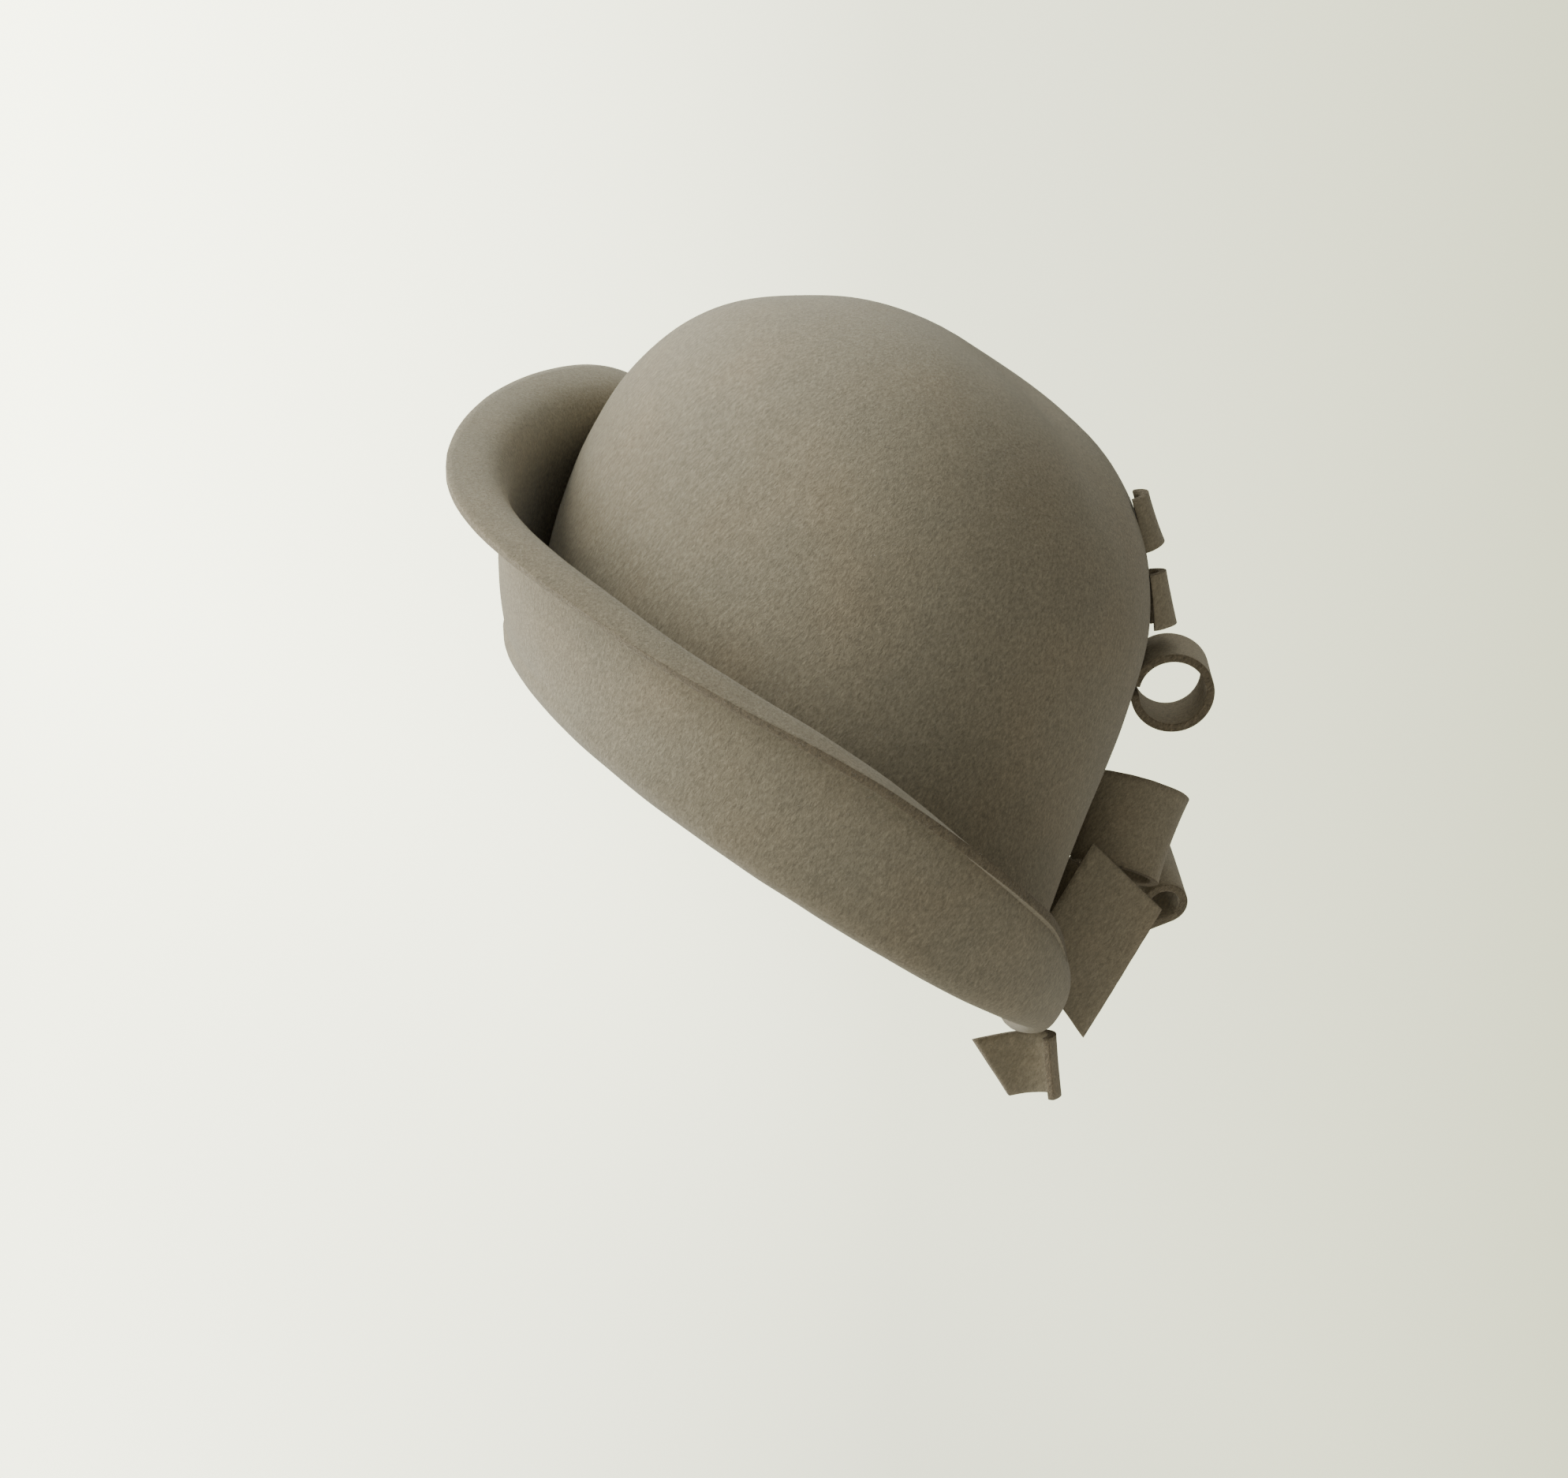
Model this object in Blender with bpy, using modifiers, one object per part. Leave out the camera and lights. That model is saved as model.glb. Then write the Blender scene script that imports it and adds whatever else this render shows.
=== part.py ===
"""Felt cloche hat with a turned-up, flared brim and a trim of rolled felt strips at the back.

Metres, +Z up. The origin is the centre of the head opening, in the plane of the brim's base.
The front of the hat faces -Y, the wearer's left is +X and the back is +Y. Angles run round the
hat from the front (0) over the wearer's left (90) and the back (180) to the wearer's right (270).
"""
import math

import bpy
from mathutils import Matrix, Vector

COLLECTION = "cloche_hat"

# Sizes of the felt body
BASE_LENGTH = 0.206      # crown at its foot, front to back, outside
BASE_WIDTH = 0.163       # crown at its foot, side to side, outside
CROWN_DEPTH = 0.1555     # base to the top of the crown
FELT = 0.003             # thickness of the felt
FOLD_RADIUS = 0.004      # inside radius of the turn where the felt is folded up
BAND_HEIGHT = 0.035      # height of the turned-up band at the side
LIP_REACH = 0.043        # how far the rolled lip stands out in front
DENT_DEPTH = 0.0035      # shallow pinch across the top of the crown
PINCH_LENGTH = 0.085     # length of that pinch
PINCH_WIDTH = 0.034      # width of that pinch
PINCH_CENTRE = 0.004     # its middle, behind the centre of the hat

# Sizes of the strip trim
BOW_WIDTH = 0.029        # width of the bow's felt strip
CURL_WIDTH = 0.017       # width of the strip that climbs the crown
STRIP_FELT = 0.0026      # thickness of both strips
RING_RADIUS = 0.0118     # ring loop, to the middle of the felt
BOW_RADIUS = 0.008       # tight ends of the bow's oval roll
BOW_FLAT_RADIUS = 0.020  # flat sides of the bow's oval roll
ROLL_RADIUS = 0.0063     # small roll of the bow
ROLL_LEAD = 0.011        # flat stretch before that roll
CURL_RADIUS = 0.0052     # curls above the ring loop
TAIL_RADIUS = 0.0075     # curl below the rim
TAIL_LEAD = 0.011        # nearly flat stretch after that curl
TAIL_WIDTH = 0.0195      # width of the strip below the rim
TAB_LENGTH = 0.0440      # flat end of the bow
BACKING_LENGTH = 0.0125  # stretch of the bow's strip that lies on the crown behind the tab

# Mesh fineness
COLUMNS = 64
CROWN_ROWS = 18
FOLD_ROWS = 4
BRIM_ROWS = 9
STEP_TURN = 15.0         # largest bend between two points of a strip, in degrees
STEP_RUN = 0.008         # longest straight step of a strip

# Crown: level is the place along the wall from the foot (0) to the top (1), height is a share of
# the rise from the middle of the fold to CROWN_DEPTH, front and back are shares of half
# BASE_LENGTH, side is a share of half BASE_WIDTH
CROWN = [
    # level, height, front, back, side
    (0.00, 0.000, 0.95, 1.025, 1.000),
    (0.16, 0.160, 1.11, 0.915, 1.010),
    (0.34, 0.360, 1.22, 0.815, 1.012),
    (0.52, 0.560, 1.23, 0.725, 0.987),
    (0.68, 0.745, 1.10, 0.605, 0.908),
    (0.82, 0.890, 0.82, 0.390, 0.717),
    (0.92, 0.970, 0.55, 0.137, 0.443),
    (1.00, 1.000, 0.20, -0.20, 0.000),
]

# Brim: reach is a share of LIP_REACH and height a share of BAND_HEIGHT, both for the cut edge;
# slope is the direction of the felt at its edge in degrees above level; climb and ease shape the
# curve between fold and edge; lift raises the fold, as a share of FOLD_RADIUS; lean tips the
# band. The band runs out at 223 degrees, where the bow fills the notch.
BRIM = [
    # angle, reach, height, slope, climb, ease, lift, lean
    (0, 0.98, 2.17, -14, 0.78, 0.68, 0.0, 0.46),
    (30, 1.07, 1.52, -24, 0.76, 0.76, -0.1, 0.58),
    (60, 1.15, 0.97, -36, 0.95, 0.82, -0.6, 0.62),
    (90, 0.66, 1.00, -52, 1.20, 0.72, -0.4, 0.45),
    (135, 0.20, 1.24, -9, 1.10, 0.60, 0.8, 0.10),
    (175, -0.04, 0.98, 40, 1.00, 0.50, 1.1, 0.00),
    (200, -0.05, 0.47, 62, 1.00, 0.50, 0.4, -0.12),
    (211, -0.01, 0.25, 75, 0.75, 0.50, -0.9, -0.06),
    (223, 0.01, 0.14, 80, 0.60, 0.50, -2.0, -0.05),
    (246, 0.10, 0.80, 40, 1.00, 0.55, -0.8, 0.10),
    (270, 0.63, 0.92, -51, 1.20, 0.72, -0.4, 0.45),
    (300, 1.02, 1.13, -34, 0.92, 0.80, -0.3, 0.62),
    (330, 1.07, 1.67, -22, 0.76, 0.76, -0.1, 0.58),
]
LIFT_FADE = 0.08         # height at which the lift of the fold has died away

# Oval roll of the bow as runs of length and bend, from the crown side outward and back
BOW_ROLL = [
    (BOW_RADIUS * math.radians(55), 55),
    (BOW_FLAT_RADIUS * math.radians(70), 70),
    (BOW_RADIUS * math.radians(110), 110),
    (BOW_FLAT_RADIUS * math.radians(70), 70),
    (BOW_RADIUS * math.radians(30), 30),
]

# Strips: level and angle give the crown point that a strip is laid out from. Place (in shares of
# BOW_WIDTH), axis (the line across the strip, which it is rolled about) and heading (the way that
# it sets off) are along (out, up, round) there. Cuts are the slants of the two ends in degrees.
# Runs are pairs of length and bend.
STRIPS = [
    # name, level, angle, place, axis, heading, width, cuts, runs
    ("ring_loop", 0.60, 226, (0.038, 0.038, -0.486), (0.07, 0.07, 0.99), (-0.06, 1.00, -0.06),
     CURL_WIDTH, (0, 0), [(RING_RADIUS * math.radians(310), 310)]),
    ("twist_curl", 0.72, 222, (0.114, -0.052, -0.466), (-0.71, 0.71, 0.04), (0.71, 0.71, -0.10),
     CURL_WIDTH, (0, 0), [(CURL_RADIUS * math.radians(185), 185)]),
    ("end_curl", 0.84, 220, (0.152, -0.117, -0.331), (-0.77, 0.61, -0.12), (0.63, 0.77, -0.12),
     CURL_WIDTH, (0, 0), [(CURL_RADIUS * math.radians(170), 170)]),
    ("bow_loop_upper", 0.34, 222, (0.145, -0.234, 0.383), (-0.30, 0.86, 0.46), (-0.20, 0.38, -0.88),
     BOW_WIDTH, (0, 0), BOW_ROLL),
    ("bow_loop_lower", 0.34, 222, (1.297, -0.793, 0.834), (-0.33, 0.24, 0.95), (0.54, 0.85, -0.09),
     BOW_WIDTH, (0, 0), [(ROLL_LEAD, 0), (ROLL_RADIUS * math.radians(260), -260)]),
    ("bow_tab", 0.34, 222, (0.841, -0.366, -0.372), (1.00, 0.08, -0.22), (0.07, -0.99, -0.14),
     BOW_WIDTH, (13, 24), [(TAB_LENGTH, 8)]),
    ("bow_backing", 0.34, 222, (0.279, -0.717, -0.066), (0.21, -0.10, 0.95), (0.21, -0.97, -0.17),
     CURL_WIDTH, (0, 0), [(BACKING_LENGTH, 0)]),
    ("tail_curl", 0.00, 220, (0.686, -0.562, -0.431), (-0.65, 0.76, 0.08), (0.54, 0.44, 0.66),
     TAIL_WIDTH, (0, 28), [(TAIL_RADIUS * math.radians(150), 150), (TAIL_LEAD, 10)]),
]


def hermite(x, knots, values):
    """Smooth curve through (knots, values), whose first and last entries only steer the ends."""
    i = 1
    while i < len(knots) - 3 and x >= knots[i + 1]:
        i += 1
    span = knots[i + 1] - knots[i]
    t = (x - knots[i]) / span
    slope_a = (values[i + 1] - values[i - 1]) / (knots[i + 1] - knots[i - 1]) * span
    slope_b = (values[i + 2] - values[i]) / (knots[i + 2] - knots[i]) * span
    return ((2 * t ** 3 - 3 * t ** 2 + 1) * values[i] + (t ** 3 - 2 * t ** 2 + t) * slope_a
            + (3 * t ** 2 - 2 * t ** 3) * values[i + 1] + (t ** 3 - t ** 2) * slope_b)


def round_table(rows, angle):
    """Values of a table whose first column is an angle round the hat, at one angle."""
    knots = [row[0] for row in rows]
    knots = [knots[-2] - 360, knots[-1] - 360] + knots + [knots[0] + 360, knots[1] + 360]
    values = []
    for column in range(1, len(rows[0])):
        series = [row[column] for row in rows]
        values.append(hermite(angle % 360, knots, series[-2:] + series + series[:2]))
    return values


def crown_section(level):
    """Height, front reach, back reach and half width of the crown's outer face at one level."""
    knots = [row[0] for row in CROWN]
    height, front, back, side = ([row[column] for row in CROWN] for column in range(1, 5))
    knots = [2 * knots[0] - knots[1]] + knots + [2 * knots[-1] - knots[-2]]
    below = [2 * series[0] - series[1] for series in (height, front, back, side)]
    beyond = [height[-2], -back[-2], -front[-2], -side[-2]]
    values = [hermite(level, knots, [low] + series + [high])
              for low, series, high in zip(below, (height, front, back, side), beyond)]
    return (FOLD_RADIUS + values[0] * (CROWN_DEPTH - FOLD_RADIUS), values[1] * BASE_LENGTH / 2,
            values[2] * BASE_LENGTH / 2, values[3] * BASE_WIDTH / 2)


def crown_point(level, angle):
    """Point on the crown's outer face."""
    height, front, back, side = crown_section(level)
    turn = math.radians(angle)
    middle = (back - front) / 2
    half = (back + front) / 2
    return Vector((side * math.sin(turn), middle - half * math.cos(turn), height))


def outward(angle):
    """Level direction that points straight out from the base oval."""
    turn = math.radians(angle)
    return Vector((BASE_LENGTH * math.sin(turn), -BASE_WIDTH * math.cos(turn), 0)).normalized()


def band_profile(angle, along):
    """Distance out from the fold and height of the brim's inner face, from fold to cut edge."""
    reach, height, slope, climb, ease, lift, lean = round_table(BRIM, angle)
    foot = (2 * FOLD_RADIUS, FOLD_RADIUS)
    edge = (foot[0] + reach * LIP_REACH, height * BAND_HEIGHT)
    first = (foot[0] + lean * (edge[0] - foot[0]), foot[1] + climb * (edge[1] - foot[1]))
    pull = 0.6 * ease * math.hypot(edge[0] - foot[0], edge[1] - foot[1])
    slope = math.radians(slope)
    second = (edge[0] - pull * math.cos(slope), edge[1] - pull * math.sin(slope))
    rest = 1 - along
    weights = (rest ** 3, 3 * rest ** 2 * along, 3 * rest * along ** 2, along ** 3)
    return [sum(w * p[k] for w, p in zip(weights, (foot, first, second, edge))) for k in (0, 1)]


def felt_point(row, angle):
    """Point on the upper face of the felt: crown rows from the top, then the fold, then the brim."""
    if row < CROWN_ROWS:
        point = pinched(crown_point(1 - row / (CROWN_ROWS - 1), angle))
    else:
        if row < CROWN_ROWS + FOLD_ROWS - 1:
            turn = math.pi * (row - CROWN_ROWS + 1) / FOLD_ROWS
            out = FOLD_RADIUS * (1 - math.cos(turn))
            height = FOLD_RADIUS * (1 - math.sin(turn))
        else:
            step = row - CROWN_ROWS - FOLD_ROWS + 1
            out, height = band_profile(angle, step / (BRIM_ROWS - 1))
        point = crown_point(0, angle) + outward(angle) * out
        point.z = height
    lift = round_table(BRIM, angle)[5] * FOLD_RADIUS
    point.z += lift * max(0.0, 1 - point.z / LIFT_FADE)
    return point


def pinched(point):
    """The shallow dent that the fingers leave along the middle of the crown's top and back."""
    across = 2 * point.x / PINCH_WIDTH
    along = 2 * (point.y - PINCH_CENTRE) / PINCH_LENGTH
    depth = DENT_DEPTH * math.exp(-across ** 2 - along ** 4) * max(0.0, point.z / CROWN_DEPTH) ** 4
    inward = (Vector((0, 0, CROWN_DEPTH / 2)) - point).normalized()
    return point + inward * depth


def felt_material(name, colour, roughness):
    material = bpy.data.materials.new(name)
    material.use_nodes = True
    shader = material.node_tree.nodes["Principled BSDF"]
    shader.inputs["Base Color"].default_value = (*colour, 1)
    shader.inputs["Roughness"].default_value = roughness
    shader.inputs["Metallic"].default_value = 0
    return material


def sheet_object(name, rows, closed, thickness, offset, material, collection):
    """Object from rows of points, made a felt wall by Solidify; closed joins the rows' ends."""
    points = []
    index = []
    for row in rows:
        line = []
        for point in row:
            line.append(len(points))
            points.append(point)
        index.append(line)
    faces = []
    for upper, lower in zip(index, index[1:]):
        count = len(lower)
        for i in range(count if closed else count - 1):
            j = (i + 1) % count
            if len(upper) == 1:
                faces.append((upper[0], lower[i], lower[j]))
            else:
                faces.append((upper[i], lower[i], lower[j], upper[j]))
    mesh = bpy.data.meshes.new(name)
    mesh.from_pydata(points, [], faces)
    mesh.shade_smooth()
    mesh.materials.append(material)
    item = bpy.data.objects.new(name, mesh)
    collection.objects.link(item)
    wall = item.modifiers.new("felt", "SOLIDIFY")
    wall.thickness = thickness
    wall.offset = offset
    wall.use_even_offset = True
    return item


def walk(runs, start, heading, across, distance):
    """Point and heading after a distance along a strip's middle line of straight and bent runs."""
    point = start.copy()
    travel = heading.copy()
    left = distance
    for number, (length, bend) in enumerate(runs):
        last = number == len(runs) - 1
        part_of_run = left if last or left < length else length
        turn = math.radians(bend) * part_of_run / length
        chord = part_of_run if abs(turn) < 1e-6 else 2 * math.sin(turn / 2) * part_of_run / turn
        point += Matrix.Rotation(turn / 2, 3, across) @ travel * chord
        travel = Matrix.Rotation(turn, 3, across) @ travel
        left -= part_of_run
        if not last and left <= 0:
            break
    return point, travel


def strip_rows(level, angle, place, axis, heading, width, cuts, runs):
    """Rows of points across a felt strip that is laid out beside the crown and bent run by run."""
    turn = math.radians(angle)
    around = Vector((math.cos(turn), math.sin(turn), 0))
    frame = Matrix((outward(angle), Vector((0, 0, 1)), around)).transposed()
    start = crown_point(level, angle) + frame @ Vector(place) * BOW_WIDTH
    across = (frame @ Vector(axis)).normalized()
    heading = frame @ Vector(heading)
    heading = (heading - across * heading.dot(across)).normalized()
    total = sum(length for length, bend in runs)
    steps = sum(max(math.ceil(abs(bend) / STEP_TURN), math.ceil(length / STEP_RUN))
                for length, bend in runs)
    slants = [math.tan(math.radians(cut)) for cut in cuts]
    rows = []
    for i in range(steps + 1):
        share = i / steps
        slant = slants[0] * (1 - share) + slants[1] * share
        row = []
        for side in (-width / 2, width / 2):
            point, _ = walk(runs, start, heading, across, total * share + side * slant)
            row.append(point + across * side)
        rows.append(row)
    return rows


def build():
    for item in list(bpy.data.objects):
        bpy.data.objects.remove(item, do_unlink=True)
    collection = bpy.data.collections.new(COLLECTION)
    bpy.context.scene.collection.children.link(collection)
    rows = [[felt_point(0, 0)]]
    for row in range(1, CROWN_ROWS + FOLD_ROWS + BRIM_ROWS - 1):
        rows.append([felt_point(row, 360 * i / COLUMNS) for i in range(COLUMNS)])
    material = felt_material("hat_felt", (0.235, 0.205, 0.165), 0.95)
    sheet_object("felt_body", rows, True, FELT, -1, material, collection)
    for name, *sizes in STRIPS:
        material = felt_material(name + "_felt", (0.215, 0.190, 0.155), 0.95)
        sheet_object(name, strip_rows(*sizes), False, STRIP_FELT, 0, material, collection)


build()
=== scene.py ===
"""Looks of the felt cloche hat: fine felt walls, cut edges, a nap of short fibres, soft light.

Metres, +Z up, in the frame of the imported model: front -Y, the wearer's left +X, the back +Y.
"""
import math

import bmesh
import bpy
import numpy as np
from mathutils import Matrix, Vector, noise


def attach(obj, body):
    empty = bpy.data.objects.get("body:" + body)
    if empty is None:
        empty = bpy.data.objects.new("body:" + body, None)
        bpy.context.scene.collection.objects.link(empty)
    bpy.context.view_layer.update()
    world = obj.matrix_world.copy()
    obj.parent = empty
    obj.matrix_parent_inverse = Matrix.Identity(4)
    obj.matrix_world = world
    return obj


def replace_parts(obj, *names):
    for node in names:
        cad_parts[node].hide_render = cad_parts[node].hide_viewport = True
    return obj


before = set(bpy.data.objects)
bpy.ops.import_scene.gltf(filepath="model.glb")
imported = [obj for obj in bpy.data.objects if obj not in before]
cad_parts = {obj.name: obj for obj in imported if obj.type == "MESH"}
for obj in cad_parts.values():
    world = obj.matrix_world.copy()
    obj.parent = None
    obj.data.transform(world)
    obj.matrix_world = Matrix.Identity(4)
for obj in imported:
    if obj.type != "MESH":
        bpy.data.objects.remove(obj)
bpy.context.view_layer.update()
BODY = "root"

# Sizes of the felt body
BASE_LENGTH = 0.206      # crown at its foot, front to back, outside
BASE_WIDTH = 0.163       # crown at its foot, side to side, outside
CROWN_DEPTH = 0.1555     # base to the top of the crown
FELT = 0.003             # thickness of the felt
FOLD_RADIUS = 0.004      # inside radius of the turn where the felt is folded up
BAND_HEIGHT = 0.035      # height of the turned-up band at the side
LIP_REACH = 0.043        # how far the rolled lip stands out in front
DENT_DEPTH = 0.0035      # shallow pinch across the top of the crown
PINCH_LENGTH = 0.085     # length of that pinch
PINCH_WIDTH = 0.034      # width of that pinch
PINCH_CENTRE = 0.004     # its middle, behind the centre of the hat

# Sizes of the strip trim
BOW_WIDTH = 0.029        # width of the bow's felt strip
CURL_WIDTH = 0.017       # width of the strip that climbs the crown
STRIP_FELT = 0.0026      # thickness of both strips
RING_RADIUS = 0.0118     # ring loop, to the middle of the felt
BOW_RADIUS = 0.008       # tight ends of the bow's oval roll
BOW_FLAT_RADIUS = 0.020  # flat sides of the bow's oval roll
ROLL_RADIUS = 0.0063     # small roll of the bow
ROLL_LEAD = 0.011        # flat stretch before that roll
CURL_RADIUS = 0.0052     # curls above the ring loop
TAIL_RADIUS = 0.0075     # curl below the rim
TAIL_LEAD = 0.011        # nearly flat stretch after that curl
TAIL_WIDTH = 0.0195      # width of the strip below the rim
TAB_LENGTH = 0.0440      # flat end of the bow
BACKING_LENGTH = 1.4 * 0.0125     # stretch of the bow's strip that lies behind the tab: here it
BACKING_WIDTH = 0.8 * CURL_WIDTH  # is turned, longer and narrower than its solid, to fill the slot

# Mesh fineness
COLUMNS = 300
CROWN_ROWS = 96
FOLD_ROWS = 12
BRIM_ROWS = 40
STEP_TURN = 5.0          # largest bend between two points of a strip, in degrees
STEP_RUN = 0.001         # longest straight step of a strip
ACROSS = 13              # points across a strip

# Crown: level is the place along the wall from the foot (0) to the top (1), height is a share of
# the rise from the middle of the fold to CROWN_DEPTH, front and back are shares of half
# BASE_LENGTH, side is a share of half BASE_WIDTH
CROWN = [
    # level, height, front, back, side
    (0.00, 0.000, 0.95, 1.025, 1.000),
    (0.16, 0.160, 1.11, 0.915, 1.010),
    (0.34, 0.360, 1.22, 0.815, 1.012),
    (0.52, 0.560, 1.23, 0.725, 0.987),
    (0.68, 0.745, 1.10, 0.605, 0.908),
    (0.82, 0.890, 0.82, 0.390, 0.717),
    (0.92, 0.970, 0.55, 0.137, 0.443),
    (1.00, 1.000, 0.20, -0.20, 0.000),
]

# Brim: reach is a share of LIP_REACH and height a share of BAND_HEIGHT, both for the cut edge;
# slope is the direction of the felt at its edge in degrees above level; climb and ease shape the
# curve between fold and edge; lift raises the fold, as a share of FOLD_RADIUS; lean tips the
# band. The band runs out at 223 degrees, where the bow fills the notch.
BRIM = [
    # angle, reach, height, slope, climb, ease, lift, lean
    (0, 0.98, 2.17, -14, 0.78, 0.68, 0.0, 0.46),
    (30, 1.07, 1.52, -24, 0.76, 0.76, -0.1, 0.58),
    (60, 1.15, 0.97, -36, 0.95, 0.82, -0.6, 0.62),
    (90, 0.66, 1.00, -52, 1.20, 0.72, -0.4, 0.45),
    (135, 0.20, 1.24, -9, 1.10, 0.60, 0.8, 0.10),
    (175, -0.04, 0.98, 40, 1.00, 0.50, 1.1, 0.00),
    (200, -0.05, 0.47, 62, 1.00, 0.50, 0.4, -0.12),
    (211, -0.01, 0.25, 75, 0.75, 0.50, -0.9, -0.06),
    (223, 0.01, 0.14, 80, 0.60, 0.50, -2.0, -0.05),
    (246, 0.10, 0.80, 40, 1.00, 0.55, -0.8, 0.10),
    (270, 0.63, 0.92, -51, 1.20, 0.72, -0.4, 0.45),
    (300, 1.02, 1.13, -34, 0.92, 0.80, -0.3, 0.62),
    (330, 1.07, 1.67, -22, 0.76, 0.76, -0.1, 0.58),
]
LIFT_FADE = 0.08         # height at which the lift of the fold has died away
EDGE_PULL = 0.6          # how far back from the edge its slope is felt, as a share of the chord

# Oval roll of the bow as runs of length and bend, from the crown side outward and back
BOW_ROLL = [
    (BOW_RADIUS * math.radians(55), 55),
    (BOW_FLAT_RADIUS * math.radians(70), 70),
    (BOW_RADIUS * math.radians(110), 110),
    (BOW_FLAT_RADIUS * math.radians(70), 70),
    (BOW_RADIUS * math.radians(30), 30),
]

# Strips: level and angle give the crown point that a strip is laid out from. Place (in shares of
# BOW_WIDTH), axis (the line across the strip, which it is rolled about) and heading (the way that
# it sets off) are along (out, up, round) there. Cuts are the slants of the two ends in degrees.
# Runs are pairs of length and bend. The ring, the two small curls and the backing differ a little
# from their solids, as the photo shows them.
STRIPS = [
    # name, level, angle, place, axis, heading, width, cuts, runs
    ("ring_loop", 0.60, 226, (0.057, -0.125, -0.296), (-0.09, 0.16, 0.99), (-0.39, 0.91, -0.14),
     CURL_WIDTH, (0, 0), [(RING_RADIUS * math.radians(345), 345)]),
    ("twist_curl", 0.72, 222, (0.046, -0.052, -0.440), (-0.71, 0.71, 0.04), (0.71, 0.71, -0.10),
     CURL_WIDTH, (0, 0), [(CURL_RADIUS * math.radians(185), 185)]),
    ("end_curl", 0.84, 220, (0.098, -0.117, -0.300), (-0.77, 0.61, -0.12), (0.63, 0.77, -0.12),
     CURL_WIDTH, (0, 0), [(CURL_RADIUS * math.radians(170), 170)]),
    ("bow_loop_upper", 0.34, 222, (0.145, -0.234, 0.383), (-0.30, 0.86, 0.46), (-0.20, 0.38, -0.88),
     BOW_WIDTH, (0, 0), BOW_ROLL),
    ("bow_loop_lower", 0.34, 222, (1.297, -0.793, 0.834), (-0.33, 0.24, 0.95), (0.54, 0.85, -0.09),
     BOW_WIDTH, (0, 0), [(ROLL_LEAD, 0), (ROLL_RADIUS * math.radians(260), -260)]),
    ("bow_tab", 0.34, 222, (0.841, -0.366, -0.372), (1.00, 0.08, -0.22), (0.07, -0.99, -0.14),
     BOW_WIDTH, (13, 24), [(TAB_LENGTH, 8)]),
    ("bow_backing", 0.34, 222, (0.290, -0.600, -0.060), (-0.45, -0.15, 0.88), (0.24, -0.97, 0.0),
     BACKING_WIDTH, (0, 0), [(BACKING_LENGTH, 0)]),
    ("tail_curl", 0.00, 220, (0.686, -0.562, -0.431), (-0.65, 0.76, 0.08), (0.54, 0.44, 0.66),
     TAIL_WIDTH, (0, 28), [(TAIL_RADIUS * math.radians(150), 150), (TAIL_LEAD, 10)]),
]

# Hand-made unevenness of the felt
SWELLS = [
    # size of the swells in metres, height in metres
    (0.045, 0.00045),
    (0.016, 0.00016),
]
STRIP_SWELLS = (1.7, 0.6)  # on a strip: how many times closer together, and the share of the height
EDGE_WANDER = 0.00009      # how far a cut edge strays from its line
EDGE_WANDER_SIZE = 0.004   # size of those swerves

# Rolls of the trim: how much wider one end is, and how much narrower the middle
ROLL_SHAPES = {
    # name: flare, waist
    "twist_curl": (-0.20, 0.10),
    "end_curl": (-0.20, 0.16),
    "bow_loop_upper": (0.12, 0.04),
}

# Cross-section of a cut edge: share of the thickness, distance out
CUT_EDGE = [(0.04, 0.00006), (0.14, 0.00014), (0.32, 0.00018), (0.50, 0.00019), (0.68, 0.00018),
            (0.86, 0.00014), (0.96, 0.00006)]
EDGE_MATERIAL = 1        # place of the cut edge's material among those of a wall

# Felts: back is how light a felt is painted behind the middle of the hat, next to 1 in front; below
# 1 it is painted shade on the cut edges and their fibres, which the crown shades at the back
FELTS = {
    # name: colour, tint of the sheen, grain, bump, back
    "hat_felt": ((0.285, 0.252, 0.185), (0.80, 0.80, 0.74), 1.0, 0.5, 1.0),
    "cut_edge_felt": ((0.300, 0.262, 0.192), (0.85, 0.80, 0.70), 1.3, 0.9, 0.62),
    "strip_felt": ((0.325, 0.285, 0.208), (0.75, 0.74, 0.68), 0.8, 0.4, 1.0),
    "fibre": ((0.40, 0.37, 0.31), (0.90, 0.90, 0.85), 0.3, 0.1, 1.0),
    # the edge fibres are painted paler than the other fibres, a painted highlight along the cut
    # edges; their back below 1 is painted shade
    "edge_fibre": ((0.60, 0.56, 0.46), (0.90, 0.90, 0.85), 0.3, 0.1, 0.42),
}
FELT_NOISES = {
    # name: scale, detail, roughness, drawn out along the fibres
    "fibres": (2600.0, 4.0, 0.7, True),
    "tufts": (1150.0, 3.0, 0.6, True),
    "clouds": (140.0, 4.0, 0.6, False),
    "patches": (26.0, 3.0, 0.55, False),
}
FIBRE_SCALE = (1.0, 1.0, 0.45)  # draws the fibres out along one direction
FIBRE_TURN = (0.5, 0.3, 0.2)    # and turns them, in radians
GRAIN = 0.24             # how much darker and lighter a grain of 1 makes the felt
TUFT_SHADES = [(0.30, -1.0), (0.52, 0.0), (0.72, 1.0)]  # place in the noise, share of the grain
HAIR_SHADES = [(0.32, -0.8), (0.50, 0.0), (0.70, 1.1)]
CLOUD_SHADES = [(0.32, 0.965), (0.68, 1.035)]           # place in the noise, brightness
PATCH_TINTS = [(0.34, (0.97, 0.985, 1.00)), (0.50, (1.0, 1.0, 1.0)), (0.66, (1.035, 1.01, 0.99))]
EDGE_SHADE = (-0.04, 0.03)  # from front to back, where the painted shade on a cut edge sets in and where it is full
SHADE_BEHIND_TINT = (1.0, 0.96, 0.90)  # colour of that painted shade, darker and browner
BUMP_DEPTH = 0.0004      # depth of the finest relief in metres

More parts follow.
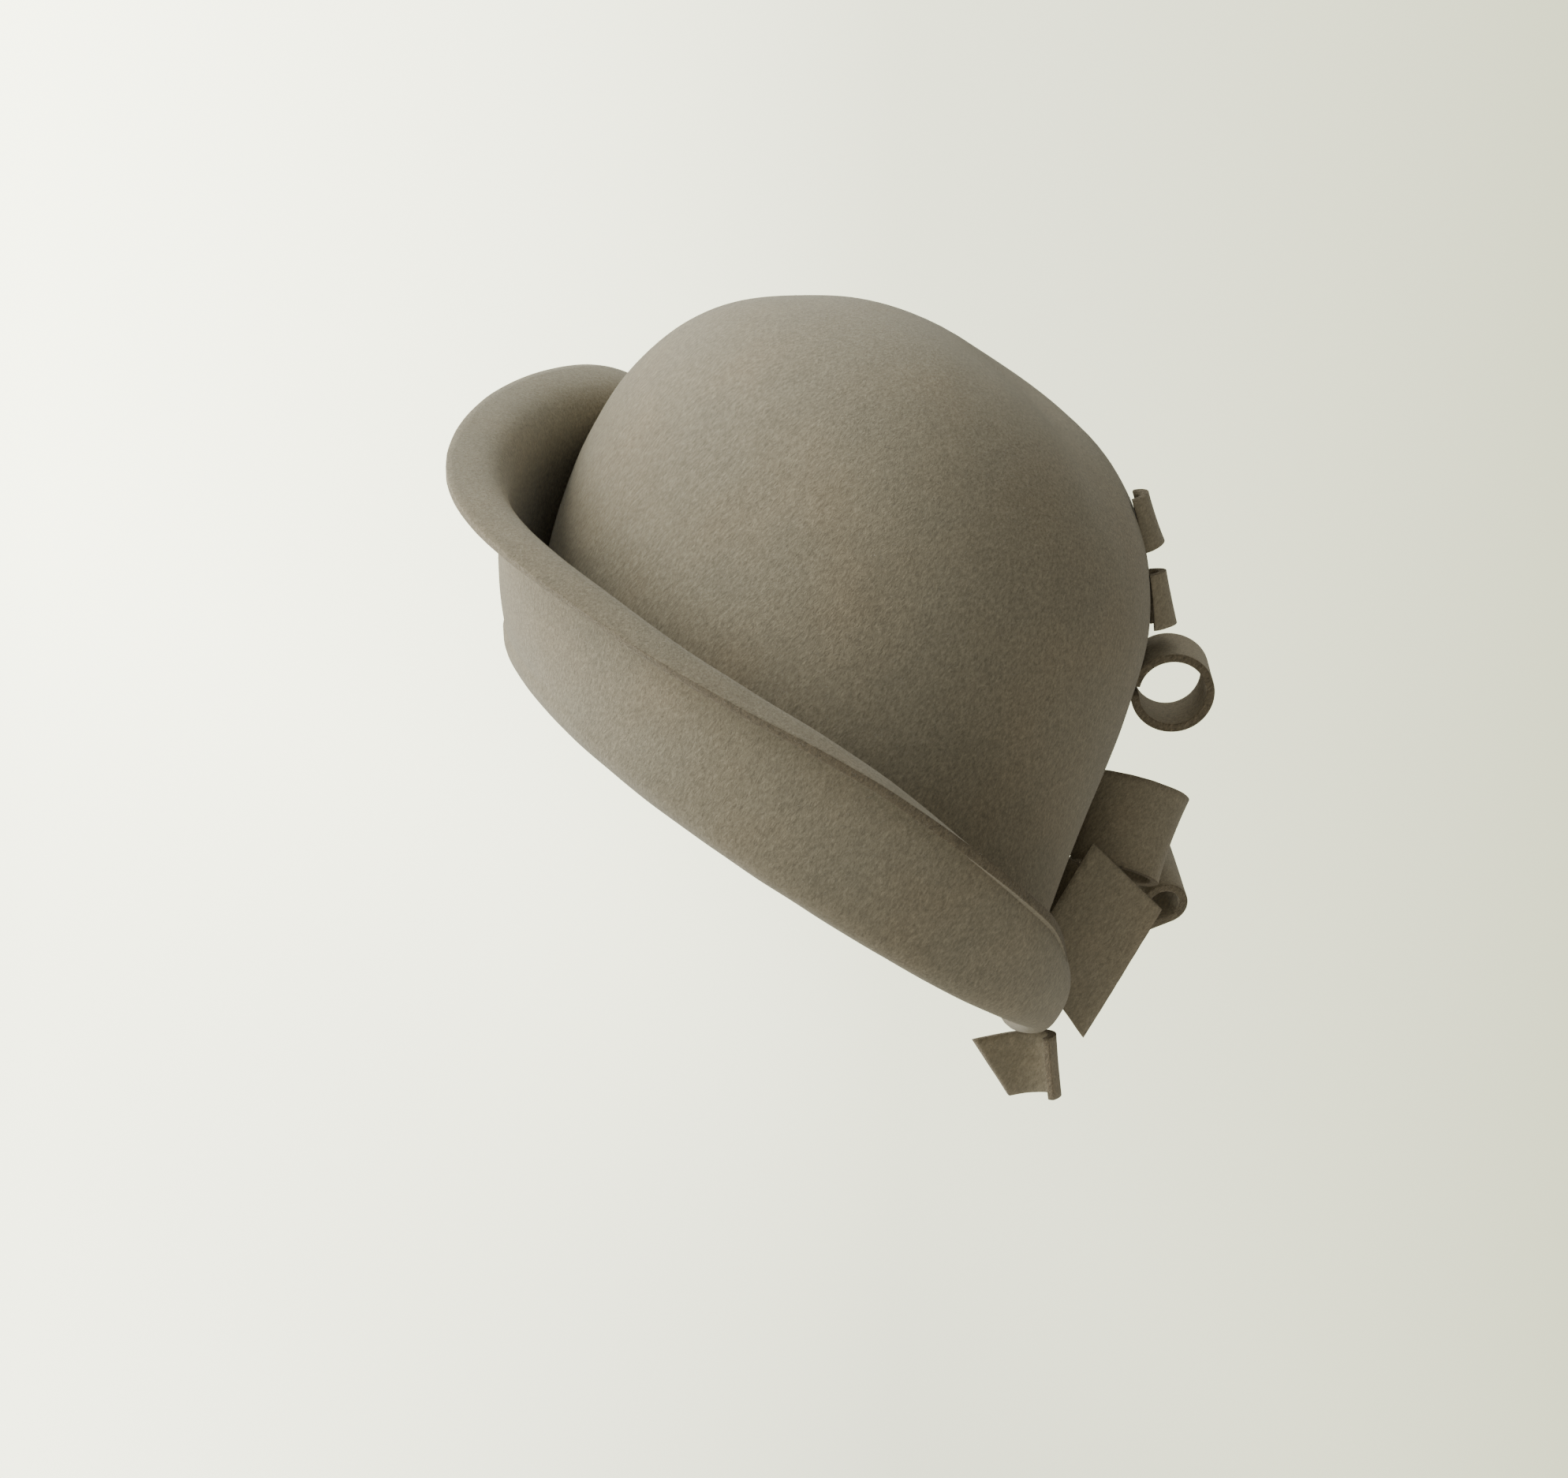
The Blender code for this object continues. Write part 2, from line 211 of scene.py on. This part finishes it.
# Nap: slivers that lie over the felt and bend once
NAPS = [
    # name, slot, fibres, lengths, width, angles above the felt, felt, seed, on cut edges only
    ("hat_nap", "felt", 60000, (0.0005, 0.0016), 0.00005, (3, 30), "fibre", 11, False),
    ("hat_edge_nap", "felt", 9000, (0.0003, 0.0009), 0.00004, (5, 45), "edge_fibre", 12, True),
    ("trim_nap", "strip_felt", 9000, (0.0003, 0.0009), 0.00004, (3, 30), "fibre", 13, False),
]
NAP_LOWER = 0.55         # shares of a fibre's length below its bend
NAP_UPPER = 0.45         # and above it
NAP_BEND = 0.35          # largest sideways bend
NAP_FLATTEN = 0.2        # how much of its rise a fibre keeps above the bend
NAP_TAPER = 0.8          # its width at the bend, as a share of that at the root

# Camera: direction of view in degrees, and the picture's scale and place
PHOTO_WIDTH = 1988
PHOTO_HEIGHT = 1874
VIEW_AZIMUTH = 125.72
VIEW_ELEVATION = 7.38
VIEW_ROLL = 35.62
VIEW_TARGET = Vector((0, 0, 0.07))
TARGET_PIXEL = (1136.8, 795.9)
PIXEL_SIZE = 0.000244    # metres a pixel at the target
CAMERA_DISTANCE = 1.3
SENSOR = 36.0            # width of the camera's sensor in millimetres

# Stage: a pale floor that thins out, and a surrounding that darkens from left to right
FLOOR_HEIGHT = -0.42     # in metres below the hat's base
FLOOR_RADIUS = 3.0
FLOOR_SIDES = 72
FLOOR_COLOUR = (0.80, 0.80, 0.74)
FLOOR_CLEAR = 0.7        # share of the floor that lets the surrounding through
FLOOR_FADE = (0.5, 0.6 * FLOOR_RADIUS)  # distances at which it starts to thin out and is gone
WORLD_LIGHT = (0.90, 0.87, 0.76)  # even light from all round
WORLD_STRENGTH = 0.36
BACKDROP_SPREAD = 0.2    # how far to each side of the view the surrounding changes
# Place from left (0) to right (1) and colour
BACKDROP = [(0.0, (6.4, 6.5, 4.9)), (0.5, (2.6, 2.65, 1.95)), (1.0, (1.30, 1.34, 0.86))]
LIGHTS = [
    # name, direction (to the right of the picture, up it, towards the camera), distance, size,
    # power, colour
    ("window", (-0.90, 0.58, 0.22), 1.6, 1.3, 35.5, (1.0, 1.0, 0.95)),
    ("rim", (-1.0, 0.05, -0.45), 1.5, 0.9, 21.0, (1.0, 1.0, 0.96)),
    ("bounce", (-0.15, -1.0, 0.35), 1.3, 1.1, 7.5, (1.0, 0.98, 0.9)),
    ("sky", (0.1, 1.0, -0.25), 1.6, 1.2, 7.0, (0.96, 1.0, 1.0)),
]


def hermite(x, knots, values):
    """Smooth curve through (knots, values), whose first and last entries only steer the ends."""
    i = 1
    while i < len(knots) - 3 and x >= knots[i + 1]:
        i += 1
    span = knots[i + 1] - knots[i]
    t = (x - knots[i]) / span
    slope_a = (values[i + 1] - values[i - 1]) / (knots[i + 1] - knots[i - 1]) * span
    slope_b = (values[i + 2] - values[i]) / (knots[i + 2] - knots[i]) * span
    return ((2 * t ** 3 - 3 * t ** 2 + 1) * values[i] + (t ** 3 - 2 * t ** 2 + t) * slope_a
            + (3 * t ** 2 - 2 * t ** 3) * values[i + 1] + (t ** 3 - t ** 2) * slope_b)


def round_table(rows, angle):
    """Values of a table whose first column is an angle round the hat, at one angle."""
    knots = [row[0] for row in rows]
    knots = [knots[-2] - 360, knots[-1] - 360] + knots + [knots[0] + 360, knots[1] + 360]
    values = []
    for column in range(1, len(rows[0])):
        series = [row[column] for row in rows]
        values.append(hermite(angle % 360, knots, series[-2:] + series + series[:2]))
    return values


def crown_section(level):
    """Height, front reach, back reach and half width of the crown's outer face at one level."""
    knots = [row[0] for row in CROWN]
    height, front, back, side = ([row[column] for row in CROWN] for column in range(1, 5))
    knots = [2 * knots[0] - knots[1]] + knots + [2 * knots[-1] - knots[-2]]
    below = [2 * series[0] - series[1] for series in (height, front, back, side)]
    beyond = [height[-2], -back[-2], -front[-2], -side[-2]]
    values = [hermite(level, knots, [low] + series + [high])
              for low, series, high in zip(below, (height, front, back, side), beyond)]
    return (FOLD_RADIUS + values[0] * (CROWN_DEPTH - FOLD_RADIUS), values[1] * BASE_LENGTH / 2,
            values[2] * BASE_LENGTH / 2, values[3] * BASE_WIDTH / 2)


def crown_point(level, angle):
    """Point on the crown's outer face."""
    height, front, back, side = crown_section(level)
    turn = math.radians(angle)
    middle = (back - front) / 2
    half = (back + front) / 2
    return Vector((side * math.sin(turn), middle - half * math.cos(turn), height))


def outward(angle):
    """Level direction that points straight out from the base oval."""
    turn = math.radians(angle)
    return Vector((BASE_LENGTH * math.sin(turn), -BASE_WIDTH * math.cos(turn), 0)).normalized()


def band_profile(angle, along):
    """Distance out from the fold and height of the brim's inner face, from fold to cut edge."""
    reach, height, slope, climb, ease, lift, lean = round_table(BRIM, angle)
    foot = (2 * FOLD_RADIUS, FOLD_RADIUS)
    edge = (foot[0] + reach * LIP_REACH, height * BAND_HEIGHT)
    first = (foot[0] + lean * (edge[0] - foot[0]), foot[1] + climb * (edge[1] - foot[1]))
    pull = EDGE_PULL * ease * math.hypot(edge[0] - foot[0], edge[1] - foot[1])
    slope = math.radians(slope)
    second = (edge[0] - pull * math.cos(slope), edge[1] - pull * math.sin(slope))
    rest = 1 - along
    weights = (rest ** 3, 3 * rest ** 2 * along, 3 * rest * along ** 2, along ** 3)
    return [sum(w * p[k] for w, p in zip(weights, (foot, first, second, edge))) for k in (0, 1)]


def felt_point(row, angle):
    """Point on the felt's upper face: crown rows from the top, then the fold, then the brim."""
    if row < CROWN_ROWS:
        point = pinched(crown_point(1 - row / (CROWN_ROWS - 1), angle))
    else:
        if row < CROWN_ROWS + FOLD_ROWS - 1:
            turn = math.pi * (row - CROWN_ROWS + 1) / FOLD_ROWS
            out = FOLD_RADIUS * (1 - math.cos(turn))
            height = FOLD_RADIUS * (1 - math.sin(turn))
        else:
            step = row - CROWN_ROWS - FOLD_ROWS + 1
            out, height = band_profile(angle, step / (BRIM_ROWS - 1))
        point = crown_point(0, angle) + outward(angle) * out
        point.z = height
    lift = round_table(BRIM, angle)[5] * FOLD_RADIUS
    point.z += lift * max(0.0, 1 - point.z / LIFT_FADE)
    return point


def pinched(point):
    """The shallow dent that the fingers leave along the middle of the crown's top and back."""
    across = 2 * point.x / PINCH_WIDTH
    along = 2 * (point.y - PINCH_CENTRE) / PINCH_LENGTH
    depth = DENT_DEPTH * math.exp(-across ** 2 - along ** 4) * max(0.0, point.z / CROWN_DEPTH) ** 4
    inward = (Vector((0, 0, CROWN_DEPTH / 2)) - point).normalized()
    return point + inward * depth


def walk(runs, start, heading, across, distance):
    """Point and heading after a distance along a strip's middle line of straight and bent runs."""
    point = start.copy()
    travel = heading.copy()
    left = distance
    for number, (length, bend) in enumerate(runs):
        last = number == len(runs) - 1
        part_of_run = left if last or left < length else length
        turn = math.radians(bend) * part_of_run / length
        chord = part_of_run if abs(turn) < 1e-6 else 2 * math.sin(turn / 2) * part_of_run / turn
        point += Matrix.Rotation(turn / 2, 3, across) @ travel * chord
        travel = Matrix.Rotation(turn, 3, across) @ travel
        left -= part_of_run
        if not last and left <= 0:
            break
    return point, travel


def strip_rows(level, angle, place, axis, heading, width, cuts, runs):
    """Rows of points across a felt strip that is laid out beside the crown and bent run by run."""
    turn = math.radians(angle)
    around = Vector((math.cos(turn), math.sin(turn), 0))
    local = Matrix((outward(angle), Vector((0, 0, 1)), around)).transposed()
    start = crown_point(level, angle) + local @ Vector(place) * BOW_WIDTH
    across = (local @ Vector(axis)).normalized()
    heading = local @ Vector(heading)
    heading = (heading - across * heading.dot(across)).normalized()
    total = sum(length for length, bend in runs)
    steps = sum(max(math.ceil(abs(bend) / STEP_TURN), math.ceil(length / STEP_RUN))
                for length, bend in runs)
    slants = [math.tan(math.radians(cut)) for cut in cuts]
    rows = []
    for i in range(steps + 1):
        share = i / steps
        slant = slants[0] * (1 - share) + slants[1] * share
        row = []
        for side in (-width / 2, width / 2):
            point, _ = walk(runs, start, heading, across, total * share + side * slant)
            row.append(point + across * side)
        rows.append(row)
    return rows


def swell(point):
    """Height of the felt's slow unevenness at a point."""
    return sum(height * noise.noise(point / size) for size, height in SWELLS)


def surface_mesh(rows, closed):
    """Points and faces of one surface; rows of points, the first of which may be a single point."""
    points = []
    index = []
    for row in rows:
        index.append(list(range(len(points), len(points) + len(row))))
        points.extend(row)
    faces = []
    for upper, lower in zip(index, index[1:]):
        count = len(lower)
        for i in range(count if closed else count - 1):
            j = (i + 1) % count
            if len(upper) == 1:
                faces.append((upper[0], lower[i], lower[j]))
            else:
                faces.append((upper[i], lower[i], lower[j], upper[j]))
    return points, index, faces


def surface_normals(points, faces):
    """Normal of a surface at each of its points."""
    mesh = bpy.data.meshes.new("normals")
    mesh.from_pydata(points, [], faces)
    mesh.update()
    normals = [vertex.normal.copy() for vertex in mesh.vertices]
    bpy.data.meshes.remove(mesh)
    return normals


def border(rows, index, closed):
    """The cut border in order: pairs of point number and direction out of the sheet."""
    def away(i, j, row_step, side_step):
        return (rows[i][j] - rows[i - row_step][j - side_step]).normalized()

    last = len(rows) - 1
    if closed:
        return [(index[last][j], away(last, j, 1, 0)) for j in range(len(rows[last]))]
    side = len(rows[0]) - 1
    walk_round = [(0, j) for j in range(side)] + [(i, side) for i in range(last)]
    walk_round += [(last, j) for j in range(side, 0, -1)] + [(i, 0) for i in range(last, 0, -1)]
    loop = []
    for i, j in walk_round:
        out = Vector((0, 0, 0))
        if i == 0:
            out += away(0, j, -1, 0)
        if i == last:
            out += away(last, j, 1, 0)
        if j == 0:
            out += away(i, 0, 0, -1)
        if j == side:
            out += away(i, side, 0, 1)
        loop.append((index[i][j], out.normalized()))
    return loop


def felt_wall(name, rows, closed, thickness, above, materials):
    """Closed felt wall round a surface; above is the share of the thickness on its outer side."""
    points, index, faces = surface_mesh(rows, closed)
    normals = surface_normals(points, faces)
    loop = border(rows, index, closed)
    count = len(points)
    wall = [p + n * thickness * above for p, n in zip(points, normals)]
    wall += [p - n * thickness * (1 - above) for p, n in zip(points, normals)]
    rings = [[k for k, out in loop]]
    for share, reach in CUT_EDGE:
        ring = []
        for k, out in loop:
            out = (out - normals[k] * out.dot(normals[k])).normalized()
            spot = points[k] / EDGE_WANDER_SIZE + Vector((share, 0, 0))
            stray = EDGE_WANDER * noise.noise(spot)
            ring.append(len(wall))
            wall.append(wall[k] - normals[k] * thickness * share + out * (reach + stray))
        rings.append(ring)
    rings.append([k + count for k, out in loop])
    edge_start = 2 * len(faces)
    faces = faces + [tuple(k + count for k in reversed(face)) for face in faces]
    for ring, after in zip(rings, rings[1:]):
        for i in range(len(ring)):
            j = (i + 1) % len(ring)
            faces.append((ring[i], after[i], after[j], ring[j]))
    mesh = bpy.data.meshes.new(name)
    mesh.from_pydata(wall, [], faces)
    for material in materials:
        mesh.materials.append(material)
    for face in mesh.polygons[edge_start:]:
        face.material_index = EDGE_MATERIAL
    make_outward(mesh)
    mesh.shade_smooth()
    item = bpy.data.objects.new(name, mesh)
    bpy.context.scene.collection.objects.link(item)
    return item


def make_outward(mesh):
    """Turns every face of a closed mesh outward."""
    work = bmesh.new()
    work.from_mesh(mesh)
    bmesh.ops.recalc_face_normals(work, faces=work.faces)
    work.to_mesh(mesh)
    work.free()


def body_rows():
    """The felt body's upper surface, with the slow unevenness of hand-blocked felt."""
    rows = [[felt_point(0, 0)]]
    for row in range(1, CROWN_ROWS + FOLD_ROWS + BRIM_ROWS - 1):
        rows.append([felt_point(row, 360 * i / COLUMNS) for i in range(COLUMNS)])
    points, index, faces = surface_mesh(rows, True)
    normals = surface_normals(points, faces)
    return [[points[k] + normals[k] * swell(points[k]) for k in line] for line in index]


def fine_strip_rows(level, angle, place, axis, heading, width, cuts, runs):
    """A strip's middle surface with many points across and the felt's slow unevenness."""
    pairs = strip_rows(level, angle, place, axis, heading, width, cuts, runs)
    closer, height = STRIP_SWELLS
    rows = []
    for i, (left, right) in enumerate(pairs):
        before = pairs[max(i - 1, 0)]
        after = pairs[min(i + 1, len(pairs) - 1)]
        along = (after[0] + after[1] - before[0] - before[1]).normalized()
        normal = along.cross(right - left).normalized()
        row = []
        for j in range(ACROSS):
            share = j / (ACROSS - 1)
            point = left.lerp(right, share)
            row.append(point + normal * (swell(point * closer) * height))
        rows.append(row)
    return rows


def flared(rows, flare, waist):
    """The rows of a roll made wider towards one end by flare and narrower half way by waist."""
    middles = [(row[0] + row[-1]) / 2 for row in rows]
    centre = sum(middles, Vector((0, 0, 0))) / len(middles)
    axis = (rows[0][-1] - rows[0][0]).normalized()
    half = (rows[0][-1] - rows[0][0]).length / 2
    shaped = []
    for row in rows:
        line = []
        for point in row:
            along = (point - centre).dot(axis)
            radial = point - centre - axis * along
            share = along / half
            line.append(point + radial * (flare * share - waist * (1 - share ** 2)))
        shaped.append(line)
    return shaped


def links(tree, *pairs):
    """Joins shader sockets, given as pairs of output and input."""
    for source, target in pairs:
        tree.links.new(source, target)


def node(tree, kind, **values):
    """A shader node with values for its inputs by name, or for its settings."""
    made = tree.nodes.new(kind)
    for key, value in values.items():
        if hasattr(made, key):
            setattr(made, key, value)
        else:
            made.inputs[key.replace("_", " ")].default_value = value
    return made


def ramp(tree, source, stops):
    """Colour ramp over a value; stops are pairs of position and colour."""
    made = tree.nodes.new("ShaderNodeValToRGB")
    elements = made.color_ramp.elements
    while len(elements) < len(stops):
        elements.new(0.5)
    for element, (position, colour) in zip(elements, stops):
        element.position = position
        element.color = (*colour, 1)
    links(tree, (source, made.inputs["Fac"]))
    return made.outputs["Color"]


def product(tree, first, second):
    """Two colours multiplied."""
    made = node(tree, "ShaderNodeMix", data_type="RGBA", blend_type="MULTIPLY", Factor=1.0)
    links(tree, (first, made.inputs["A"]), (second, made.inputs["B"]))
    return made.outputs["Result"]


def felt(name, colour, tint, grain, bump, back):
    """Wool felt: heathered fibres, soft blotches of warm and cool grey, a dull sheen."""
    material = bpy.data.materials.new(name)
    material.use_nodes = True
    tree = material.node_tree
    shader = tree.nodes["Principled BSDF"]
    place = node(tree, "ShaderNodeTexCoord").outputs["Object"]
    squeeze = node(tree, "ShaderNodeMapping", Scale=FIBRE_SCALE, Rotation=FIBRE_TURN)
    links(tree, (place, squeeze.inputs["Vector"]))
    noises = {}
    for kind, (scale, detail, roughness, drawn_out) in FELT_NOISES.items():
        made = node(tree, "ShaderNodeTexNoise", Scale=scale, Detail=detail, Roughness=roughness)
        links(tree, (squeeze.outputs["Vector"] if drawn_out else place, made.inputs["Vector"]))
        noises[kind] = made.outputs["Fac"]
    mixed = ramp(tree, noises["patches"], [
        (stop, tuple(c * k for c, k in zip(colour, tints))) for stop, tints in PATCH_TINTS])
    depth = GRAIN * grain
    for kind, stops in (
            ("tufts", [(stop, 1 + depth * share) for stop, share in TUFT_SHADES]),
            ("fibres", [(stop, 1 + depth * share) for stop, share in HAIR_SHADES]),
            ("clouds", CLOUD_SHADES)):
        layer = ramp(tree, noises[kind], [(stop, (shade,) * 3) for stop, shade in stops])
        mixed = product(tree, mixed, layer)
    # Painted shade: a felt whose back is below 1 is painted darker and browner towards the back of
    # the hat
    if back < 1.0:
        split = node(tree, "ShaderNodeSeparateXYZ")
        behind = node(tree, "ShaderNodeMapRange", From_Min=EDGE_SHADE[0], From_Max=EDGE_SHADE[1])
        links(tree, (place, split.inputs["Vector"]), (split.outputs["Y"], behind.inputs["Value"]))
        painted_shade_behind = ramp(tree, behind.outputs["Result"], [
            (0.0, (1.0,) * 3), (1.0, tuple(back * k for k in SHADE_BEHIND_TINT))])
        mixed = product(tree, mixed, painted_shade_behind)
    relief = node(tree, "ShaderNodeMath", operation="ADD")
    dents = node(tree, "ShaderNodeBump", Strength=bump, Distance=BUMP_DEPTH)
    links(tree, (noises["tufts"], relief.inputs[0]), (noises["fibres"], relief.inputs[1]),
          (relief.outputs[0], dents.inputs["Height"]),
          (dents.outputs["Normal"], shader.inputs["Normal"]), (mixed, shader.inputs["Base Color"]))
    shader.inputs["Roughness"].default_value = 0.95
    shader.inputs["Specular IOR Level"].default_value = 0.15
    shader.inputs["Sheen Weight"].default_value = 0.35
    shader.inputs["Sheen Roughness"].default_value = 0.5
    shader.inputs["Sheen Tint"].default_value = (*tint, 1)
    return material


def nap(name, sources, count, lengths, width, angles, material, seed, only_edge):
    """Short fibres lying over the faces of some pieces, as one mesh of slivers."""
    corners = []
    for item in sources:
        mesh = item.data
        mesh.calc_loop_triangles()
        places = np.empty(len(mesh.vertices) * 3)
        mesh.vertices.foreach_get("co", places)
        places = places.reshape(-1, 3)
        triangles = np.empty(len(mesh.loop_triangles) * 3, dtype=np.int64)
        mesh.loop_triangles.foreach_get("vertices", triangles)
        if only_edge:
            kinds = np.empty(len(mesh.loop_triangles), dtype=np.int64)
            mesh.loop_triangles.foreach_get("material_index", kinds)
            triangles = triangles.reshape(-1, 3)[kinds == EDGE_MATERIAL].ravel()
        corners.append(places[triangles.reshape(-1, 3)])
    corners = np.concatenate(corners)
    crosses = np.cross(corners[:, 1] - corners[:, 0], corners[:, 2] - corners[:, 0])
    areas = np.linalg.norm(crosses, axis=1)
    keep = areas > 0
    corners, crosses, areas = corners[keep], crosses[keep], areas[keep]
    draw = np.random.default_rng(seed)
    chosen = draw.choice(len(areas), size=count, p=areas / areas.sum())
    u, v = draw.random(count), draw.random(count)
    over = u + v > 1
    u[over], v[over] = 1 - u[over], 1 - v[over]
    a, b, c = (corners[chosen, k] for k in range(3))
    root = a + (b - a) * u[:, None] + (c - a) * v[:, None]
    normal = crosses[chosen] / areas[chosen][:, None]
    lay = np.cross(draw.normal(size=(count, 3)), normal)
    lay /= np.linalg.norm(lay, axis=1)[:, None]
    side = np.cross(normal, lay)
    length = draw.uniform(lengths[0], lengths[1], count)[:, None]
    rise = np.radians(draw.uniform(angles[0], angles[1], count))[:, None]
    bend = draw.uniform(-NAP_BEND, NAP_BEND, count)[:, None]
    middle = root + (lay * np.cos(rise) + normal * np.sin(rise)) * length * NAP_LOWER
    onward = lay + side * bend + normal * np.sin(rise) * NAP_FLATTEN
    tip = middle + onward * length * NAP_UPPER
    half = side * width / 2
    narrow = half * NAP_TAPER
    points = np.stack([root - half, root + half, middle + narrow, middle - narrow, tip], axis=1)
    mesh = bpy.data.meshes.new(name)
    numbers = np.arange(count)[:, None] * 5
    quads = numbers + np.array([0, 1, 2, 3])
    tips = numbers + np.array([3, 2, 4])
    mesh.from_pydata(points.reshape(-1, 3).tolist(), [], quads.tolist() + tips.tolist())
    mesh.materials.append(material)
    item = bpy.data.objects.new(name, mesh)
    bpy.context.scene.collection.objects.link(item)
    return item


def view_axes():
    """Right, up and backward directions of the camera."""
    turn, rise, roll = (math.radians(v) for v in (VIEW_AZIMUTH, VIEW_ELEVATION, VIEW_ROLL))
    back = Vector((math.sin(turn) * math.cos(rise), -math.cos(turn) * math.cos(rise),
                   math.sin(rise)))
    level = Vector((math.cos(turn), math.sin(turn), 0))
    upright = back.cross(level)
    right = level * math.cos(roll) + upright * math.sin(roll)
    up = -level * math.sin(roll) + upright * math.cos(roll)
    return right, up, back


def make_camera():
    """Camera at the photo's viewing angle and scale."""
    right, up, back = view_axes()
    camera = bpy.data.cameras.new("camera")
    camera.sensor_width = SENSOR
    camera.lens = SENSOR * CAMERA_DISTANCE / (PHOTO_WIDTH * PIXEL_SIZE)
    camera.shift_x = (PHOTO_WIDTH / 2 - TARGET_PIXEL[0]) / PHOTO_WIDTH
    camera.shift_y = -(PHOTO_HEIGHT / 2 - TARGET_PIXEL[1]) / PHOTO_WIDTH
    camera.clip_start = 0.05
    item = bpy.data.objects.new("camera", camera)
    bpy.context.scene.collection.objects.link(item)
    turn = Matrix((right, up, back)).transposed().to_4x4()
    item.matrix_world = Matrix.Translation(VIEW_TARGET + back * CAMERA_DISTANCE) @ turn
    bpy.context.scene.camera = item


def area_light(name, direction, distance, size, power, colour):
    """Square light that shines on the hat from a direction."""
    light = bpy.data.lights.new(name, "AREA")
    light.energy = power
    light.size = size
    light.color = colour
    item = bpy.data.objects.new(name, light)
    bpy.context.scene.collection.objects.link(item)
    place = VIEW_TARGET + direction.normalized() * distance
    turn = direction.to_track_quat("Z", "Y").to_matrix().to_4x4()
    item.matrix_world = Matrix.Translation(place) @ turn


def make_surround(right):
    """Pale surrounding, brighter to the left of the picture; the hat is lit by an even one."""
    world = bpy.data.worlds.new("studio")
    world.use_nodes = True
    bpy.context.scene.world = world
    tree = world.node_tree
    even = tree.nodes["Background"]
    even.inputs["Color"].default_value = (*WORLD_LIGHT, 1)
    even.inputs["Strength"].default_value = WORLD_STRENGTH
    seen = node(tree, "ShaderNodeBackground", Strength=1.0)
    direction = node(tree, "ShaderNodeTexCoord").outputs["Generated"]
    across = node(tree, "ShaderNodeVectorMath", operation="DOT_PRODUCT")
    across.inputs[1].default_value = tuple(right)
    spread = node(tree, "ShaderNodeMapRange", From_Min=-BACKDROP_SPREAD, From_Max=BACKDROP_SPREAD)
    path = node(tree, "ShaderNodeLightPath")
    both = node(tree, "ShaderNodeMixShader")
    links(tree, (direction, across.inputs[0]), (across.outputs["Value"], spread.inputs["Value"]),
          (ramp(tree, spread.outputs["Result"], BACKDROP), seen.inputs["Color"]),
          (path.outputs["Is Camera Ray"], both.inputs["Fac"]),
          (even.outputs[0], both.inputs[1]), (seen.outputs[0], both.inputs[2]),
          (both.outputs[0], tree.nodes["World Output"].inputs["Surface"]))


def floor_material():
    """Pale, partly clear floor that thins out to nothing."""
    material = bpy.data.materials.new("pale_floor")
    material.use_nodes = True
    tree = material.node_tree
    shader = tree.nodes["Principled BSDF"]
    shader.inputs["Base Color"].default_value = (*FLOOR_COLOUR, 1)
    shader.inputs["Roughness"].default_value = 0.9
    clear = node(tree, "ShaderNodeBsdfTransparent")
    thin = node(tree, "ShaderNodeMixShader", Fac=FLOOR_CLEAR)
    both = node(tree, "ShaderNodeMixShader")
    spot = node(tree, "ShaderNodeTexCoord").outputs["Object"]
    far = node(tree, "ShaderNodeVectorMath", operation="LENGTH")
    fade = node(tree, "ShaderNodeMapRange", interpolation_type="SMOOTHSTEP",
                From_Min=FLOOR_FADE[0], From_Max=FLOOR_FADE[1])
    links(tree, (spot, far.inputs[0]), (far.outputs["Value"], fade.inputs["Value"]),
          (shader.outputs[0], thin.inputs[1]), (clear.outputs[0], thin.inputs[2]),
          (fade.outputs["Result"], both.inputs["Fac"]), (thin.outputs[0], both.inputs[1]),
          (clear.outputs[0], both.inputs[2]),
          (both.outputs[0], tree.nodes["Material Output"].inputs["Surface"]))
    return material


def make_stage():
    """Surrounding, floor and soft light from the upper left."""
    right, up, back = view_axes()
    make_surround(right)
    mesh = bpy.data.meshes.new("floor")
    turns = [math.radians(360 * k / FLOOR_SIDES) for k in range(FLOOR_SIDES)]
    ring = [(FLOOR_RADIUS * math.cos(turn), FLOOR_RADIUS * math.sin(turn), FLOOR_HEIGHT)
            for turn in turns]
    mesh.from_pydata(ring, [], [tuple(range(FLOOR_SIDES))])
    mesh.materials.append(floor_material())
    floor = bpy.data.objects.new("floor", mesh)
    bpy.context.scene.collection.objects.link(floor)
    for name, (sideways, upward, backward), *rest in LIGHTS:
        area_light(name, sideways * right + upward * up + backward * back, *rest)


def make_hat():
    """The felt body, the strips of the trim and their nap."""
    felts = {name: felt(name, *look) for name, look in FELTS.items()}
    edge_felt = felts["cut_edge_felt"]
    body = felt_wall("hat_felt_wall", body_rows(), True, FELT, 0.0, [felts["hat_felt"], edge_felt])
    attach(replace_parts(body, "felt_body"), BODY)
    strips = []
    for name, *layout in STRIPS:
        width, _, runs = layout[-3:]
        rows = flared(fine_strip_rows(*layout), *ROLL_SHAPES.get(name, (0, 0)))
        strip = felt_wall(name + "_felt", rows, False, STRIP_FELT, 0.5,
                          [felts["strip_felt"], edge_felt])
        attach(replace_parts(strip, name), BODY)
        strips.append(strip)
    carriers = {"felt": [body], "strip_felt": strips}
    for name, slot, count, lengths, width, angles, fibre, seed, only_edge in NAPS:
        item = nap(name, carriers[slot], count, lengths, width, angles, felts[fibre], seed,
                   only_edge)
        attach(item, BODY)


make_camera()
make_hat()
make_stage()
